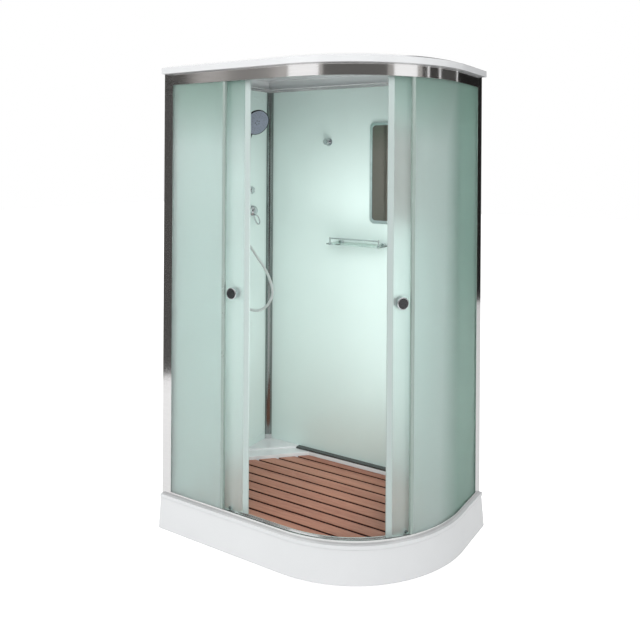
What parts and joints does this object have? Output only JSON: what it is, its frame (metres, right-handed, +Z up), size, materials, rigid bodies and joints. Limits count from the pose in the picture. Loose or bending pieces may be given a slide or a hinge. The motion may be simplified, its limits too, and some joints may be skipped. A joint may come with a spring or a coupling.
{
  "type": "shower cabin",
  "caption": "Quadrant shower cabin with a low tray, frosted sliding doors, roof, wooden duckboard, mirror, shelf, mixer and hand shower.",
  "frame": {"origin": "centre of the rectangular footprint on the floor", "axes": "+X right along the back wall, +Y from the front to the back wall, +Z up"},
  "size_m": [1.2, 0.8, 2.05],
  "materials": {
    "acrylic": "gloss white acrylic",
    "zinc_steel": "zinc plated",
    "black_plastic": "matte",
    "grey_plastic": "matte",
    "chrome": "polished",
    "wood": "oiled",
    "dark_wood": "oiled",
    "polished_rail": "polished",
    "dark_strip": "satin dark",
    "wall_panel": "gloss back painted",
    "frosted_glass": "frosted",
    "clear_glass": "clear",
    "clear_seal": "translucent",
    "white_seal": "white",
    "white_plastic": "satin",
    "black_rubber": "matte",
    "mirror": "silvered",
    "brass": "bright",
    "copper": "copper",
    "spray_plastic": "satin",
    "hose_steel": "wound steel"
  },
  "bodies": {
    "cabin": {"tray": "acrylic", "apron": "acrylic", "apron_brackets": "zinc_steel", "tray_frame": "zinc_steel", "legs": "zinc_steel", "feet": "black_plastic", "drain_body": "grey_plastic", "drain_cover": "chrome", "top_rail": "polished_rail", "bottom_rail": "polished_rail", "left_post": "polished_rail", "right_post": "polished_rail", "wall_top_profile": "polished_rail", "wall_foot_strip": "dark_strip", "corner_column": "polished_rail", "corner_column_foot": "grey_plastic", "back_wall": "wall_panel", "left_wall": "wall_panel", "left_fixed_glass": "frosted_glass", "right_fixed_glass": "frosted_glass", "fixed_glass_seals": "clear_seal", "track_stops": "black_rubber", "roof": "acrylic", "mirror_glass": "mirror", "mirror_frame": "chrome", "shelf_glass": "clear_glass", "shelf_rail": "chrome", "robe_hook": "chrome", "mixer_body": "chrome", "diverter_body": "chrome", "lock_nuts": "brass", "supply_pipes": "copper", "hose_elbow": "chrome", "hose_nuts": "chrome", "shower_holder": "chrome", "shower_hose": "hose_steel"},
    "duckboard": {"duckboard_slats": "wood", "duckboard_battens": "dark_wood"},
    "left_door": {"left_door_glass": "frosted_glass", "left_door_seals": "white_seal", "left_door_knobs": "chrome", "left_roller_axles": "chrome"},
    "right_door": {"right_door_glass": "frosted_glass", "right_door_seals": "white_seal", "right_door_knobs": "chrome", "right_roller_axles": "chrome"},
    "left_top_lead_wheel": {"left_top_lead_wheel": "white_plastic"},
    "left_top_trail_wheel": {"left_top_trail_wheel": "white_plastic"},
    "left_bottom_lead_wheel": {"left_bottom_lead_wheel": "white_plastic"},
    "left_bottom_trail_wheel": {"left_bottom_trail_wheel": "white_plastic"},
    "right_top_lead_wheel": {"right_top_lead_wheel": "white_plastic"},
    "right_top_trail_wheel": {"right_top_trail_wheel": "white_plastic"},
    "right_bottom_lead_wheel": {"right_bottom_lead_wheel": "white_plastic"},
    "right_bottom_trail_wheel": {"right_bottom_trail_wheel": "white_plastic"},
    "mixer_ball": {"mixer_ball": "chrome"},
    "mixer_lever": {"mixer_lever": "chrome"},
    "diverter_knob": {"diverter_knob": "chrome"},
    "hand_shower": {"hand_shower": "chrome"},
    "spray_face": {"spray_face": "spray_plastic"}
  },
  "joints": [
    {"name": "left_door_slide", "type": "slide", "parent": "cabin", "child": "left_door", "axis": [1, 0, 0], "range_m": [-0.008, 0.295]},
    {"name": "right_door_turn", "type": "hinge", "parent": "cabin", "child": "right_door", "pos_m": [0.05, 0.15, 1.07], "axis": [0, 0, -1], "range_deg": [-1, 35.5]},
    {"name": "duckboard_lift", "type": "slide", "parent": "cabin", "child": "duckboard", "axis": [0, 0, 1], "range_m": [0, 0.15]},
    {"name": "left_top_lead_wheel_spin", "type": "hinge", "parent": "left_door", "child": "left_top_lead_wheel", "pos_m": [-0.23488, -0.3405, 1.9808], "axis": [0, 1, 0], "range_deg": [-70, 2260]},
    {"name": "left_top_trail_wheel_spin", "type": "hinge", "parent": "left_door", "child": "left_top_trail_wheel", "pos_m": [-0.5, -0.3405, 1.9808], "axis": [0, 1, 0], "range_deg": [-70, 2260]},
    {"name": "left_bottom_lead_wheel_spin", "type": "hinge", "parent": "left_door", "child": "left_bottom_lead_wheel", "pos_m": [-0.23488, -0.3405, 0.1658], "axis": [0, 1, 0], "range_deg": [-70, 2260]},
    {"name": "left_bottom_trail_wheel_spin", "type": "hinge", "parent": "left_door", "child": "left_bottom_trail_wheel", "pos_m": [-0.5, -0.3405, 0.1658], "axis": [0, 1, 0], "range_deg": [-70, 2260]},
    {"name": "right_top_lead_wheel_spin", "type": "hinge", "parent": "right_door", "child": "right_top_lead_wheel", "pos_m": [0.45793, -0.12237, 1.9808], "axis": [0.8317, -0.5553, 0], "range_deg": [-70, 2330]},
    {"name": "right_top_trail_wheel_spin", "type": "hinge", "parent": "right_door", "child": "right_top_trail_wheel", "pos_m": [0.53956, 0.11962, 1.9808], "axis": [0.9981, -0.0619, 0], "range_deg": [-70, 2330]},
    {"name": "right_bottom_lead_wheel_spin", "type": "hinge", "parent": "right_door", "child": "right_bottom_lead_wheel", "pos_m": [0.45793, -0.12237, 0.1658], "axis": [0.8317, -0.5553, 0], "range_deg": [-70, 2330]},
    {"name": "right_bottom_trail_wheel_spin", "type": "hinge", "parent": "right_door", "child": "right_bottom_trail_wheel", "pos_m": [0.53956, 0.11962, 0.1658], "axis": [0.9981, -0.0619, 0], "range_deg": [-70, 2330]},
    {"name": "mixer_turn", "type": "hinge", "parent": "cabin", "child": "mixer_ball", "pos_m": [-0.559, 0.205, 1.369], "axis": [1, 0, 0], "range_deg": [-45, 45]},
    {"name": "mixer_lift", "type": "hinge", "parent": "mixer_ball", "child": "mixer_lever", "pos_m": [-0.559, 0.205, 1.369], "axis": [0, -1, 0], "range_deg": [0, 20]},
    {"name": "diverter_turn", "type": "hinge", "parent": "cabin", "child": "diverter_knob", "pos_m": [-0.572, 0.205, 1.474], "axis": [1, 0, 0], "range_deg": [-90, 90]},
    {"name": "hand_shower_turn", "type": "hinge", "parent": "cabin", "child": "hand_shower", "pos_m": [-0.522, 0.094, 1.686], "axis": [0.4384, 0, 0.8988], "range_deg": [-60, 60]},
    {"name": "spray_face_turn", "type": "hinge", "parent": "hand_shower", "child": "spray_face", "pos_m": [-0.44339, 0.08808, 1.8101], "axis": [0.8446, -0.342, -0.4119], "range_deg": [-45, 45]}
  ],
  "couplings": [
    {"joint": "left_top_lead_wheel_spin", "follows": "left_door_slide", "rad_per_m": 133.33},
    {"joint": "left_top_trail_wheel_spin", "follows": "left_door_slide", "rad_per_m": 133.33},
    {"joint": "left_bottom_lead_wheel_spin", "follows": "left_door_slide", "rad_per_m": 133.33},
    {"joint": "left_bottom_trail_wheel_spin", "follows": "left_door_slide", "rad_per_m": 133.33},
    {"joint": "right_top_lead_wheel_spin", "follows": "right_door_turn", "ratio": 65.4},
    {"joint": "right_top_trail_wheel_spin", "follows": "right_door_turn", "ratio": 65.4},
    {"joint": "right_bottom_lead_wheel_spin", "follows": "right_door_turn", "ratio": 65.4},
    {"joint": "right_bottom_trail_wheel_spin", "follows": "right_door_turn", "ratio": 65.4}
  ]
}
